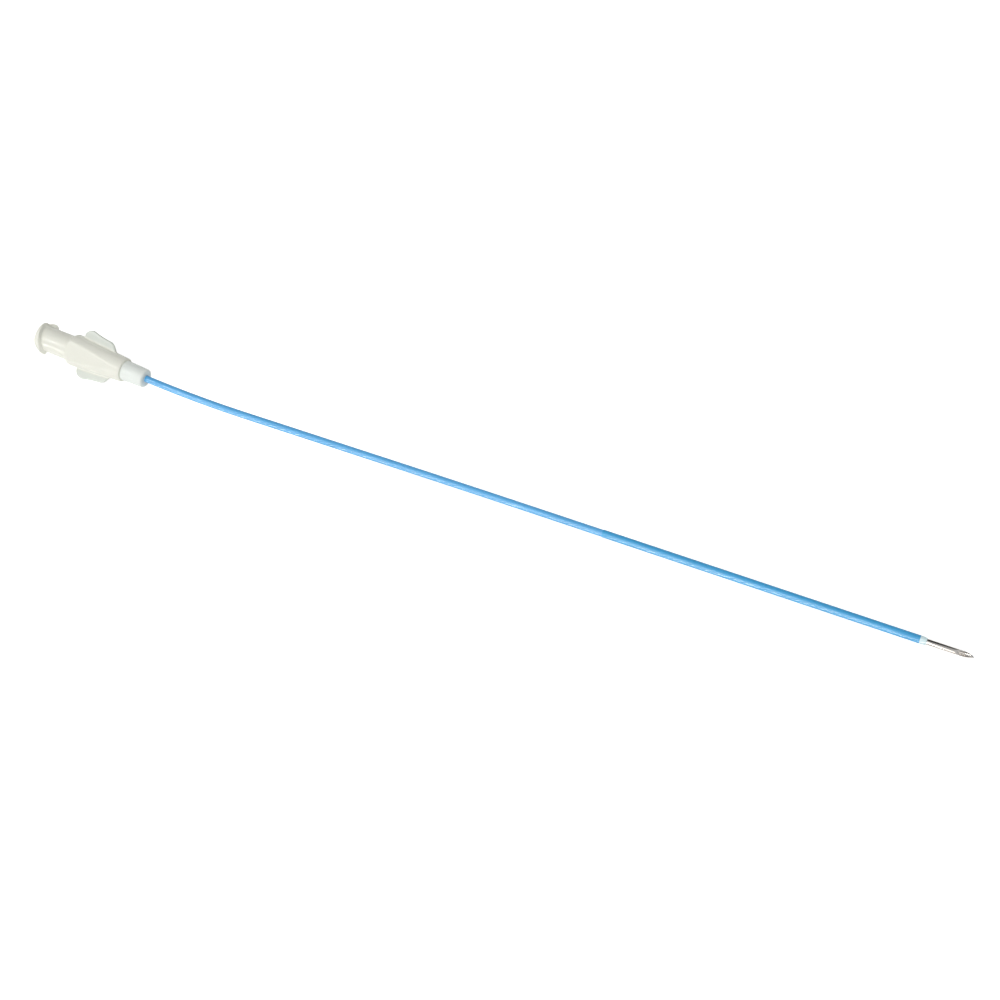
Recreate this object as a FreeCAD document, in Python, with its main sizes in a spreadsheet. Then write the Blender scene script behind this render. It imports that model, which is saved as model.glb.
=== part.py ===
import FreeCAD, Part
import math
import os
import Sketcher
from FreeCAD import Placement, Rotation, Vector

# Winged injection needle for a cystoscope, lying on a table as it comes to rest.
# Origin: centre of the Luer socket's mouth. +X: along the hub towards the needle. +Z: up.
# The hub rests on its Luer lug and on the edge of one wing, the shaft on its distal sleeve.

# Driving sizes in millimetres and degrees
SIZES = {
    # Female Luer-lock fitting
    "luer_mouth_dia": 4.3,
    "luer_taper": 0.06,
    "luer_depth": 7.6,
    "mouth_chamfer": 0.15,
    "funnel_length": 1.3,
    "collar_dia": 6.8,
    "collar_length": 0.6,
    "lug_dia": 7.8,
    "lug_lead": 5.08,
    "lug_span": 170.0,
    "lug_start": 0.1,
    "lug_flank": 0.25,
    "lug_round": 0.4,
    "lug_turn": 306.0,
    "barrel_dia": 6.1,
    "barrel_length": 8.8,
    "spigot_dia": 5.0,
    "spigot_length": 8.4,
    "spigot_nose": 1.6,
    "spigot_end_dia": 2.6,
    "shaft_seat": 5.6,
    # Winged cap
    "cap_rear_dia": 7.7,
    "cap_front_dia": 5.8,
    "cap_length": 15.4,
    "cap_land": 1.8,
    "cap_rear_round": 0.9,
    "cap_front_chamfer": 0.25,
    "across_flats": 6.2,
    "cap_clearance": 0.05,
    # Wings of the cap
    "wing_thickness": 1.0,
    "wing_root": 2.0,
    "wing_reach": 6.05,
    "wing_front_reach": 5.2,
    "rear_lobe_radius": 1.95,
    "rear_lobe_place": 4.45,
    "front_lobe_radius": 2.2,
    "front_lobe_place": 9.25,
    "wing_dip_radius": 20.0,
    "wing_front_slope": 35.0,
    "wing_edge_round": 0.35,
    # Strain relief at the front of the hub
    "relief_root_dia": 4.85,
    "relief_end_dia": 4.5,
    "relief_length": 6.0,
    "relief_chamfer": 0.4,
    "relief_spigot_dia": 3.8,
    "relief_spigot_length": 3.5,
    # Shaft tube and its route
    "shaft_dia": 1.65,
    "shaft_clearance": 0.02,
    "first_leg": 15.5,
    "sag_reach": 66.8,
    "sag_side": 6.1426,
    "landing_leg": 33.72,
    "shaft_yaw": 3.68,
    # Distal sleeve, tip collar and needle
    "sleeve_dia": 1.82,
    "sleeve_length": 72.2,
    "tip_collar_length": 1.45,
    "tip_collar_land": 0.6,
    "tip_collar_end_dia": 1.37,
    "tip_collar_round": 3.0,
    "needle_dia": 1.27,
    "needle_bore": 0.84,
    "needle_reach": 11.7,
    "needle_anchor": 30.0,
    "bevel_length": 4.4,
    "grind_angle": 20.0,
    "grind_turn": 45.0,
    "bevel_turn": 25.0,
}

# Share of the straight leg beside it that each bend of the shaft takes up
EXIT_BEND_SHARE = 0.75
LANDING_BEND_SHARE = 0.3

# How near two lengths are for one edge to be the one looked for
CLOSE = 1e-4

doc = FreeCAD.newDocument("injection_needle")
sheet = doc.addObject("Spreadsheet::Sheet", "Sizes")
for row, (alias, value) in enumerate(SIZES.items(), start=1):
    sheet.set("A%d" % row, alias.replace("_", " "))
    sheet.set("B%d" % row, str(value))
    sheet.setAlias("B%d" % row, alias)
doc.recompute()


def size(alias):
    return float(sheet.get(alias))


def bound(text):
    """Expression text with each size's name pointed at the sheet."""
    for alias in sorted(SIZES, key=len, reverse=True):
        text = text.replace("<%s>" % alias, "Sizes." + alias)
    return text


def bind(feature, name, text):
    feature.setExpression(name, bound(text))


def new_body(label):
    body = doc.addObject("PartDesign::Body", label)
    body.Label = label
    return body


def origin_part(body, role):
    return next(f for f in body.Origin.OriginFeatures if f.Role == role)


def new_sketch(body, name, plane="XZ_Plane"):
    sketch = body.newObject("Sketcher::SketchObject", name)
    sketch.AttachmentSupport = [(origin_part(body, plane), "")]
    sketch.MapMode = "FlatFace"
    return sketch


def fix_point(sketch, geometry, end, x_text, y_text):
    """Ties one end of a line or the centre of an arc to the sheet."""
    for axis, kind, text in ((-2, "DistanceX", x_text), (-1, "DistanceY", y_text)):
        if text == "0":
            sketch.addConstraint(Sketcher.Constraint("PointOnObject", geometry, end, axis))
            continue
        value = float(sketch.evalExpression(bound(text)))
        if value < 0:
            text = "-(%s)" % text
            index = sketch.addConstraint(Sketcher.Constraint(kind, geometry, end, -1, 1, -value))
        else:
            index = sketch.addConstraint(Sketcher.Constraint(kind, -1, 1, geometry, end, value))
        bind(sketch, "Constraints[%d]" % index, text)


def closed_profile(sketch, corners):
    """Straight-sided closed outline whose corners are expressions of the sizes."""
    spots = [Vector(*[float(sketch.evalExpression(bound(t))) for t in c], 0) for c in corners]
    lines = [Part.LineSegment(a, b) for a, b in zip(spots, spots[1:] + spots[:1])]
    first = sketch.addGeometry(lines, False)[0]
    count = len(corners)
    for i in range(count):
        after = first + (i + 1) % count
        sketch.addConstraint(Sketcher.Constraint("Coincident", first + i, 2, after, 1))
        fix_point(sketch, first + i, 1, *corners[i])


def revolve(body, name, corners, kind="Revolution"):
    """Turned form, or a turned cut when kind is Groove, about the body's X axis."""
    sketch = new_sketch(body, name + "_profile")
    closed_profile(sketch, corners)
    turned = body.newObject("PartDesign::" + kind, name)
    turned.Profile = sketch
    turned.ReferenceAxis = (origin_part(body, "X_Axis"), [""])
    turned.Angle = 360
    doc.recompute()
    return turned


def ring_edges(shape, x, radius):
    """Names of the full or part circles about the X axis at x with this radius."""
    names = []
    for number, edge in enumerate(shape.Edges, start=1):
        if not isinstance(edge.Curve, Part.Circle):
            continue
        centre = edge.Curve.Center
        off_axis = math.hypot(centre.y, centre.z)
        if max(off_axis, abs(centre.x - x), abs(edge.Curve.Radius - radius)) < CLOSE:
            names.append("Edge%d" % number)
    return names


def fillet(body, name, base, edges, radius_text):
    rounded = body.newObject("PartDesign::Fillet", name)
    rounded.Base = (base, edges)
    bind(rounded, "Radius", radius_text)
    doc.recompute()
    return rounded


def chamfer(body, name, base, edges, size_text):
    broken = body.newObject("PartDesign::Chamfer", name)
    broken.Base = (base, edges)
    bind(broken, "Size", size_text)
    doc.recompute()
    return broken


def mirrored(body, name, original, plane):
    copy = body.newObject("PartDesign::Mirrored", name)
    copy.Originals = [original]
    copy.MirrorPlane = (origin_part(body, plane), [""])
    body.Tip = copy
    doc.recompute()
    return copy


# Places along the hub, measured from the Luer mouth
SPIGOT_END = "<barrel_length> + <spigot_length>"
SPIGOT_TIP = SPIGOT_END + " + <spigot_nose>"
SEAT_END = SPIGOT_TIP + " - <shaft_seat>"
CAP_REAR = "<barrel_length>"
CAP_FRONT = "<barrel_length> + <cap_length>"
RELIEF_REAR = CAP_FRONT + " - <relief_spigot_length>"
RELIEF_FRONT = CAP_FRONT + " + <relief_length>"


def luer_fitting():
    """Tapered socket, two helical lugs, barrel, and the spigot that goes into the cap."""
    body = new_body("luer_fitting")
    socket_end = "<luer_mouth_dia> / 2 - <luer_taper> * <luer_depth> / 2"
    taper_start = "<luer_mouth_dia> / 2 - <luer_taper> * <mouth_chamfer> / 2"
    funnel_end = "<luer_depth> + <funnel_length>"
    seat_radius = "<shaft_dia> / 2 + <shaft_clearance>"
    revolve(body, "turned_fitting", [
        ("0", "<luer_mouth_dia> / 2 + <mouth_chamfer>"),
        ("0", "<collar_dia> / 2"),
        ("<collar_length>", "<collar_dia> / 2"),
        ("<collar_length>", "<barrel_dia> / 2"),
        ("<barrel_length>", "<barrel_dia> / 2"),
        ("<barrel_length>", "<spigot_dia> / 2"),
        (SPIGOT_END, "<spigot_dia> / 2"),
        (SPIGOT_TIP, "<spigot_end_dia> / 2"),
        (SPIGOT_TIP, seat_radius),
        (SEAT_END, seat_radius),
        (SEAT_END, "<needle_dia> / 2"),
        (funnel_end, "<needle_dia> / 2"),
        ("<luer_depth>", socket_end),
        ("<mouth_chamfer>", taper_start),
    ])

    # Each lug starts behind the rim and is cut flush with it, so only its front edge climbs
    lug = new_sketch(body, "lug_section")
    root = "<barrel_dia> / 2 - <lug_flank>"
    closed_profile(lug, [
        ("0 - <lug_lead> * <lug_span> / 360 - <lug_start>", root),
        ("0 - <lug_lead> * <lug_span> / 360 - <lug_start>", "<lug_dia> / 2"),
        ("<lug_start>", "<lug_dia> / 2"),
        ("<lug_start> + <lug_flank>", root),
    ])
    lug.AttachmentOffset = Placement(Vector(), Rotation(Vector(1, 0, 0), 1))
    bind(lug, "AttachmentOffset.Rotation.Angle", "<lug_turn>")
    helix = body.newObject("PartDesign::AdditiveHelix", "lug_helix")
    helix.Profile = lug
    helix.ReferenceAxis = (origin_part(body, "X_Axis"), [""])
    helix.Mode = 1
    bind(helix, "Pitch", "<lug_lead>")
    bind(helix, "Turns", "<lug_span> / 360")
    helix.HasBeenEdited = True
    doc.recompute()
    pair = body.newObject("PartDesign::PolarPattern", "lug_pair")
    pair.Originals = [helix]
    pair.Axis = (origin_part(body, "X_Axis"), [""])
    pair.Angle = 360
    pair.Occurrences = 2
    body.Tip = pair
    doc.recompute()
    revolve(body, "flush_rim", [
        ("0 - <lug_dia>", "0"),
        ("0", "0"),
        ("0", "<lug_dia> / 2 - <lug_round>"),
        ("<lug_round>", "<lug_dia> / 2"),
        ("<lug_round>", "<lug_dia>"),
        ("0 - <lug_dia>", "<lug_dia>"),
    ], kind="Groove")
    return body


def wing_outline(sketch):
    """Two lobes with a shallow dip between them, straight at the rear, sloped at the front."""
    reach, front_reach = size("wing_reach"), size("wing_front_reach")
    rear_r, front_r, dip_r = (size(n) for n in
                              ("rear_lobe_radius", "front_lobe_radius", "wing_dip_radius"))
    rear = Vector(size("barrel_length") + size("rear_lobe_place"), reach - rear_r, 0)
    front = Vector(size("barrel_length") + size("front_lobe_place"), front_reach - front_r, 0)
    root = size("wing_root")

    # The dip's centre is as far from both lobes' centres as tangent arcs need
    span = front.sub(rear)
    along = ((rear_r + dip_r) ** 2 - (front_r + dip_r) ** 2 + span.Length ** 2) / (2 * span.Length)
    out = math.sqrt((rear_r + dip_r) ** 2 - along ** 2)
    step = Vector(span).normalize()
    dip = rear + step * along + Vector(-step.y, step.x, 0) * out

    def toward(centre, spot):
        return math.atan2(spot.y - centre.y, spot.x - centre.x)

    def arc(centre, radius, start, end):
        circle = Part.Circle(centre, Vector(0, 0, 1), radius)
        return Part.ArcOfCircle(circle, start, end)

    slope = math.radians(size("wing_front_slope"))
    rim = front + Vector(math.cos(slope), math.sin(slope), 0) * front_r
    foot = rim + Vector(math.tan(slope), -1, 0) * (rim.y - root)
    heel = Vector(rear.x - rear_r, root, 0)
    shapes = [
        Part.LineSegment(heel, Vector(heel.x, rear.y, 0)),
        arc(rear, rear_r, toward(rear, dip), math.pi),
        arc(dip, dip_r, toward(dip, rear), toward(dip, front)),
        arc(front, front_r, slope, toward(front, dip)),
        Part.LineSegment(rim, foot),
        Part.LineSegment(foot, heel),
    ]
    side, rear_arc, dip_arc, front_arc, ramp, base = sketch.addGeometry(shapes, False)
    add = sketch.addConstraint
    add(Sketcher.Constraint("Tangent", side, 2, rear_arc, 2))
    add(Sketcher.Constraint("Tangent", rear_arc, 1, dip_arc, 1))
    add(Sketcher.Constraint("Tangent", dip_arc, 2, front_arc, 2))
    add(Sketcher.Constraint("Tangent", front_arc, 1, ramp, 1))
    add(Sketcher.Constraint("Coincident", ramp, 2, base, 1))
    add(Sketcher.Constraint("Coincident", base, 2, side, 1))
    add(Sketcher.Constraint("Vertical", side))
    add(Sketcher.Constraint("Horizontal", base))
    for geometry, radius in ((rear_arc, "rear_lobe_radius"), (dip_arc, "wing_dip_radius"),
                             (front_arc, "front_lobe_radius")):
        index = add(Sketcher.Constraint("Radius", geometry, size(radius)))
        bind(sketch, "Constraints[%d]" % index, "<%s>" % radius)
    fix_point(sketch, rear_arc, 3, CAP_REAR + " + <rear_lobe_place>",
              "<wing_reach> - <rear_lobe_radius>")
    fix_point(sketch, front_arc, 3, CAP_REAR + " + <front_lobe_place>",
              "<wing_front_reach> - <front_lobe_radius>")
    index = add(Sketcher.Constraint("DistanceY", -1, 1, side, 1, root))
    bind(sketch, "Constraints[%d]" % index, "<wing_root>")
    index = add(Sketcher.Constraint("Angle", -1, 1, ramp, 1, -math.pi / 2 + slope))
    bind(sketch, "Constraints[%d]" % index, "<wing_front_slope> - 90")


def wing_rim_edges(shape):
    """Both faces' outline edges of the wings, outside the cap's turned body."""
    half = size("wing_thickness") / 2
    names = []
    for number, edge in enumerate(shape.Edges, start=1):
        box = edge.BoundBox
        on_face = box.ZLength < CLOSE and abs(abs(box.ZMax) - half) < CLOSE
        outside = max(abs(box.YMax), abs(box.YMin)) > size("cap_rear_dia") / 2 + CLOSE
        if on_face and outside:
            names.append("Edge%d" % number)
    return names


def winged_cap():
    """Conical cap with two flats, two lobed wings in one plane and a stepped cavity."""
    body = new_body("winged_cap")
    cone = revolve(body, "cone", [
        (CAP_REAR, "0"),
        (CAP_REAR, "<cap_rear_dia> / 2"),
        (CAP_REAR + " + <cap_land>", "<cap_rear_dia> / 2"),
        (CAP_FRONT, "<cap_front_dia> / 2"),
        (CAP_FRONT, "0"),
    ])
    rear_x = size("barrel_length")
    front_x = rear_x + size("cap_length")
    rear_edge = ring_edges(cone.Shape, rear_x, size("cap_rear_dia") / 2)
    shoulder = fillet(body, "rear_shoulder", cone, rear_edge, "<cap_rear_round>")
    front_edge = ring_edges(shoulder.Shape, front_x, size("cap_front_dia") / 2)
    chamfer(body, "front_lip", shoulder, front_edge, "<cap_front_chamfer>")

    flat = new_sketch(body, "flat_outline", "XY_Plane")
    closed_profile(flat, [
        (CAP_REAR + " - <cap_land>", "0 - <cap_rear_dia>"),
        (CAP_FRONT, "0 - <cap_rear_dia>"),
        (CAP_FRONT, "<cap_rear_dia>"),
        (CAP_REAR + " - <cap_land>", "<cap_rear_dia>"),
    ])
    bind(flat, "AttachmentOffset.Base.z", "<across_flats> / 2")
    cut = body.newObject("PartDesign::Pocket", "flat")
    cut.Profile = flat
    cut.Reversed = True
    bind(cut, "Length", "<cap_rear_dia>")
    doc.recompute()
    mirrored(body, "flat_pair", cut, "XY_Plane")

    outline = new_sketch(body, "wing_outline", "XY_Plane")
    wing_outline(outline)
    wing = body.newObject("PartDesign::Pad", "wing")
    wing.Profile = outline
    wing.Midplane = True
    bind(wing, "Length", "<wing_thickness>")
    doc.recompute()
    wings = mirrored(body, "wing_pair", wing, "XZ_Plane")
    fillet(body, "wing_rims", wings, wing_rim_edges(wings.Shape), "<wing_edge_round>")

    spigot_radius = "<spigot_dia> / 2 + <cap_clearance>"
    neck_radius = "<shaft_dia> / 2 + <cap_clearance>"
    revolve(body, "cavity", [
        (CAP_REAR + " - <cap_land>", "0"),
        (CAP_REAR + " - <cap_land>", spigot_radius),
        (SPIGOT_END + " + <cap_clearance>", spigot_radius),
        (SPIGOT_TIP + " + <cap_clearance>", "<spigot_end_dia> / 2 + <cap_clearance>"),
        (SPIGOT_TIP + " + <cap_clearance>", neck_radius),
        (RELIEF_REAR, neck_radius),
        (RELIEF_REAR, "<relief_spigot_dia> / 2 + <cap_clearance>"),
        (CAP_FRONT + " + <cap_land>", "<relief_spigot_dia> / 2 + <cap_clearance>"),
        (CAP_FRONT + " + <cap_land>", "0"),
    ], kind="Groove")

    # The hub rolls until the wing's rounded edge reaches the table under the Luer lug
    body.Placement = Placement(Vector(), Rotation(Vector(1, 0, 0), 1))
    arm = "(<wing_reach> - <wing_edge_round>)"
    rise = "(<wing_thickness> / 2 - <wing_edge_round>)"
    drop = "(<lug_dia> / 2 - <wing_edge_round>)"
    roll = "asin({2} / sqrt({0} ^ 2 + {1} ^ 2)) - atan({1} / {0})".format(arm, rise, drop)
    bind(body, "Placement.Rotation.Angle", roll)
    return body


def strain_relief():
    """Slightly conical nose with a broken edge that seats in the cap's front and holds the shaft."""
    body = new_body("strain_relief")
    hole = "<shaft_dia> / 2 + <shaft_clearance>"
    nose = revolve(body, "turned_nose", [
        (RELIEF_REAR, hole),
        (RELIEF_REAR, "<relief_spigot_dia> / 2"),
        (CAP_FRONT, "<relief_spigot_dia> / 2"),
        (CAP_FRONT, "<relief_root_dia> / 2"),
        (RELIEF_FRONT, "<relief_end_dia> / 2"),
        (RELIEF_FRONT, hole),
    ])
    end_x = size("barrel_length") + size("cap_length") + size("relief_length")
    rim = ring_edges(nose.Shape, end_x, size("relief_end_dia") / 2)
    chamfer(body, "nose_edge", nose, rim, "<relief_chamfer>")
    return body


def route_points():
    """Corners of the shaft's centre line: out of the hub, down to the table, along it."""
    start = size("barrel_length") + size("spigot_length") + size("spigot_nose") - size("shaft_seat")
    leave = size("barrel_length") + size("cap_length") + size("relief_length")
    bend = Vector(leave + size("first_leg"), 0, 0)
    table = -size("lug_dia") / 2 + size("sleeve_dia") / 2
    land = Vector(bend.x + size("sag_reach"), size("sag_side"), table)
    yaw = math.radians(size("shaft_yaw"))
    ahead = Vector(math.cos(yaw), math.sin(yaw), 0)
    end = land + ahead * (size("landing_leg") + size("sleeve_length"))
    return [Vector(start, 0, 0), Vector(leave, 0, 0), bend, land, end]


def route_wire(points):
    """Straight runs joined by tangent arcs at the two bends."""
    start, leave, bend, land, end = points
    edges = []
    here = start
    bends = ((bend, leave, land, EXIT_BEND_SHARE), (land, bend, end, LANDING_BEND_SHARE))
    for corner, before, after, share in bends:
        back = before.sub(corner).normalize()
        ahead = after.sub(corner).normalize()
        turn = math.pi - back.getAngle(ahead)
        tangent = share * before.sub(corner).Length
        radius = tangent / math.tan(turn / 2)
        first = corner + back * tangent
        last = corner + ahead * tangent
        to_middle = (back + ahead).normalize()
        centre = corner + to_middle * (radius / math.cos(turn / 2))
        middle = centre - to_middle * radius
        edges.append(Part.LineSegment(here, first).toShape())
        edges.append(Part.Arc(first, middle, last).toShape())
        print("shaft bend radius %.1f mm, turn %.1f deg" % (radius, math.degrees(turn)))
        here = last
    edges.append(Part.LineSegment(here, end).toShape())
    return Part.Wire(edges)


def shaft_tube():
    """Thin-walled tube from its seat in the fitting, through the cap and nose, to the tip."""
    points = route_points()
    route = doc.addObject("Part::Feature", "shaft_route")
    route.Shape = route_wire(points)
    count = len(route.Shape.Edges)
    swept = []
    for name, radius in (("shaft_outside", "<shaft_dia> / 2"), ("shaft_bore", "<needle_dia> / 2")):
        ring = doc.addObject("Part::Circle", name + "_ring")
        bind(ring, "Radius", radius)
        ring.Placement = Placement(points[0], Rotation(Vector(0, 1, 0), 90))
        sweep = doc.addObject("Part::Sweep", name)
        sweep.Sections = [ring]
        sweep.Spine = (route, ["Edge%d" % n for n in range(1, count + 1)])
        sweep.Solid = True
        sweep.Frenet = False
        swept.append(sweep)
    tube = doc.addObject("Part::Cut", "shaft_tube")
    tube.Base, tube.Tool = swept
    tube.Label = "shaft_tube"
    doc.recompute()
    section = math.pi * (size("shaft_dia") ** 2 - size("needle_dia") ** 2) / 4
    print("shaft volume %.2f mm3, section times length %.2f mm3"
          % (tube.Shape.Volume, section * route.Shape.Length))
    return tube


def place_on_line(body, along_text, turn_text="0"):
    """Puts a body built along its own X axis on the shaft's straight distal line."""
    turn = float(sheet.evalExpression(bound(turn_text)))
    yaw = Rotation(Vector(0, 0, 1), size("shaft_yaw"))
    roll = Rotation(Vector(1, 0, 0), turn)
    land = route_points()[3]
    along = float(sheet.evalExpression(bound(along_text)))
    spot = land + yaw.multVec(Vector(along, 0, 0))
    body.Placement = Placement(spot, yaw * roll)


def distal_sleeve():
    """Thin sleeve over the far end of the shaft tube."""
    body = new_body("distal_sleeve")
    revolve(body, "sleeve_wall", [
        ("0", "<shaft_dia> / 2"),
        ("0", "<sleeve_dia> / 2"),
        ("<sleeve_length>", "<sleeve_dia> / 2"),
        ("<sleeve_length>", "<shaft_dia> / 2"),
    ])
    place_on_line(body, "<landing_leg>")
    return body


def tip_collar():
    """Rounded bead that closes the tube round the needle."""
    body = new_body("tip_collar")
    bead = revolve(body, "bead", [
        ("0", "<needle_dia> / 2"),
        ("0", "<sleeve_dia> / 2"),
        ("<tip_collar_land>", "<sleeve_dia> / 2"),
        ("<tip_collar_length>", "<tip_collar_end_dia> / 2"),
        ("<tip_collar_length>", "<needle_dia> / 2"),
    ])
    edge = ring_edges(bead.Shape, size("tip_collar_land"), size("sleeve_dia") / 2)
    fillet(body, "bead_round", bead, edge, "<tip_collar_round>")
    place_on_line(body, "<landing_leg> + <sleeve_length>")
    return body


def needle_cannula():
    """Steel tube with a lancet point: one long bevel and two side grinds that meet at the tip."""
    body = new_body("needle_cannula")
    length = "<needle_anchor> + <needle_reach>"
    revolve(body, "cannula_wall", [
        ("0", "<needle_bore> / 2"),
        ("0", "<needle_dia> / 2"),
        (length, "<needle_dia> / 2"),
        (length, "<needle_bore> / 2"),
    ])

    def grind(name, corners, turn_text):
        sketch = new_sketch(body, name + "_section")
        closed_profile(sketch, corners)
        turn = float(sheet.evalExpression(bound(turn_text)))
        sketch.AttachmentOffset = Placement(Vector(), Rotation(Vector(1, 0, 0), turn or 1))
        bind(sketch, "AttachmentOffset.Rotation.Angle", turn_text)
        cut = body.newObject("PartDesign::Pocket", name)
        cut.Profile = sketch
        cut.Midplane = True
        bind(cut, "Length", "2 * <needle_dia>")
        doc.recompute()

    grind("bevel", [
        (length + " - <bevel_length>", "<needle_dia> / 2"),
        (length, "0 - <needle_dia> / 2"),
        (length + " + <needle_dia>", "0 - <needle_dia> / 2"),
        (length + " + <needle_dia>", "<needle_dia>"),
        (length + " - <bevel_length>", "<needle_dia>"),
    ], "0")
    low = "<needle_dia> / 2 * cos(<grind_turn>)"
    rise = "(<needle_dia> + %s) / tan(<grind_angle>)" % low
    for name, side in (("left_grind", "<grind_turn>"), ("right_grind", "0 - <grind_turn>")):
        grind(name, [
            (length, "0 - %s" % low),
            (length + " + <needle_dia>", "0 - %s" % low),
            (length + " + <needle_dia>", "<needle_dia>"),
            (length + " - " + rise, "<needle_dia>"),
        ], side)
    place_on_line(body, "<landing_leg> + <sleeve_length> - <needle_anchor>", "<bevel_turn>")
    return body


def check_and_write(parts):
    doc.recompute()
    for thing in doc.Objects:
        bad = [state for state in thing.State if state in ("Invalid", "Error")]
        if bad:
            raise RuntimeError("%s is %s" % (thing.Label, bad))
    os.makedirs("parts", exist_ok=True)
    for part in parts:
        shape = part.Shape
        if shape.isNull() or not shape.isValid():
            raise RuntimeError("%s has no valid shape" % part.Label)
        box = shape.BoundBox
        print("%-15s solids %d volume %9.3f mm3  x %.2f..%.2f  y %.2f..%.2f  z %.3f..%.3f"
              % (part.Label, len(shape.Solids), shape.Volume, box.XMin, box.XMax,
                 box.YMin, box.YMax, box.ZMin, box.ZMax))
        shape.exportStep("parts/%s.step" % part.Label)


check_and_write([
    luer_fitting(),
    winged_cap(),
    strain_relief(),
    shaft_tube(),
    distal_sleeve(),
    tip_collar(),
    needle_cannula(),
])
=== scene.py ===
import math

import bpy
from bpy.props import FloatProperty, FloatVectorProperty, PointerProperty
from mathutils import Matrix, Vector


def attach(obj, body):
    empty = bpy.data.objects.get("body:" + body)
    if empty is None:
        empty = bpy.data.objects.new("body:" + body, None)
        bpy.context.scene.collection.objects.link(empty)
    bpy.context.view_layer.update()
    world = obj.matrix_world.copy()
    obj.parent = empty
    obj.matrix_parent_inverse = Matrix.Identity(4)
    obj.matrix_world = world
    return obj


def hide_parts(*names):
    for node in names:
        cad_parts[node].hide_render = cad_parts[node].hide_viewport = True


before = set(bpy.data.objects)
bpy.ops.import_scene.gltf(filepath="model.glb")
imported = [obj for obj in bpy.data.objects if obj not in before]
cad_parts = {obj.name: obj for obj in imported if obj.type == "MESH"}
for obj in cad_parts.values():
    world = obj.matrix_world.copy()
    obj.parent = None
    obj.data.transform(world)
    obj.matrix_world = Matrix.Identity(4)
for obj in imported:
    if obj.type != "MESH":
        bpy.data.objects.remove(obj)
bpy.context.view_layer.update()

# Looks of the winged injection needle. Lengths are in metres, in the frame of the solids:
# the origin is the middle of the Luer mouth, +X runs along the hub and +Z is up.

bl_info = {
    "name": "Winged injection needle",
    "version": (1, 0, 0),
    "blender": (4, 5, 0),
    "location": "View3D > Sidebar > Needle",
    "description": "Builds the hub, the shaft and the needle, and the table they lie on",
    "category": "Object",
}

MM = 0.001
ROOT = "root"
CLEARANCE = 0.02 * MM
SHARP_EDGE = math.radians(38.0)
MOULD_SHADE = 0.86
MOULD_BUMP = (0.08, 0.02 * MM)
EVENLY = (1.0, 1.0, 1.0)
WHITE = (1.0, 1.0, 1.0, 1.0)


def length(name, description, millimetres):
    """A length that a user may change, with its default in millimetres."""
    return FloatProperty(name=name, description=description, default=millimetres * MM,
                         min=0.0, unit="LENGTH", precision=5)


def angle(name, description, degrees):
    return FloatProperty(name=name, description=description,
                         default=math.radians(degrees), subtype="ANGLE")


def colour(name, description, red, green, blue):
    """A colour whose default is given as display values from 0 to 255."""
    def linear(value):
        share = value / 255
        return share / 12.92 if share <= 0.04045 else ((share + 0.055) / 1.055) ** 2.4
    return FloatVectorProperty(name=name, description=description, subtype="COLOR", size=3,
                               min=0.0, max=1.0,
                               default=(linear(red), linear(green), linear(blue)))


class HubSizes(bpy.types.PropertyGroup):
    """Sizes of the Luer fitting, the winged cap and the strain relief."""
    mouth_radius: length("Mouth radius", "Radius of the Luer socket at its mouth", 2.15)
    luer_depth: length("Luer depth", "Depth of the tapered socket", 7.6)
    luer_taper: FloatProperty(name="Luer taper", description="Loss of diameter per length",
                              default=0.06)
    collar_radius: length("Collar radius", "Radius of the rim between the lugs", 3.4)
    collar_length: length("Collar length", "Length of the rim between the lugs", 0.6)
    lug_radius: length("Lug radius", "Radius over the two Luer lugs", 3.9)
    lug_start: length("Lug start", "Where a lug's front edge begins", 0.1)
    lug_lead: length("Lug lead", "Advance of the lug's thread in one turn", 5.08)
    lug_span: angle("Lug span", "Angle that each lug covers", 170.0)
    lug_turn: angle("Lug turn", "Angle from the top to the first lug's start", 306.0)
    barrel_radius: length("Barrel radius", "Radius of the fitting's barrel", 3.05)
    barrel_length: length("Barrel length", "From the mouth to the cap", 8.8)
    spigot_radius: length("Spigot radius", "Radius of the fitting inside the cap", 2.5)
    spigot_end: length("Spigot end", "Where the fitting's straight spigot ends", 17.2)
    spigot_tip: length("Spigot tip", "Front end of the fitting", 18.8)
    tip_radius: length("Spigot tip radius", "Radius of the fitting's front end", 1.3)
    cap_rear_radius: length("Cap rear radius", "Radius of the cap's rear land", 3.85)
    cap_front_radius: length("Cap front radius", "Radius of the cap's front", 2.9)
    cap_land: length("Cap land", "Straight part at the cap's rear", 1.8)
    cap_length: length("Cap length", "Length of the winged cap", 15.4)
    cap_rear_round: length("Cap rear round", "Rounding of the cap's shoulder", 0.9)
    cap_front_round: length("Cap front round", "Rounding of the cap's front lip", 0.3)
    flat_height: length("Flat height", "From the axis to each of the cap's flats", 3.1)
    wing_thickness: length("Wing thickness", "Thickness of the wings", 1.0)
    wing_reach: length("Wing reach", "From the axis to the rear lobe's top", 6.05)
    wing_edge_round: length("Wing edge round", "Rounding of the wings' edges", 0.35)
    relief_root_radius: length("Nose root radius", "Radius of the nose at the cap", 2.425)
    relief_end_radius: length("Nose end radius", "Radius of the nose at its front", 2.25)
    relief_length: length("Nose length", "Length of the nose in front of the cap", 6.0)
    plug_radius: length("Nose plug radius", "Radius of the nose inside the cap", 1.9)
    plug_length: length("Nose plug length", "Length of the nose inside the cap", 3.5)
    relief_round: length("Nose round", "Rounding of the nose's front edge", 0.5)


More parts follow.
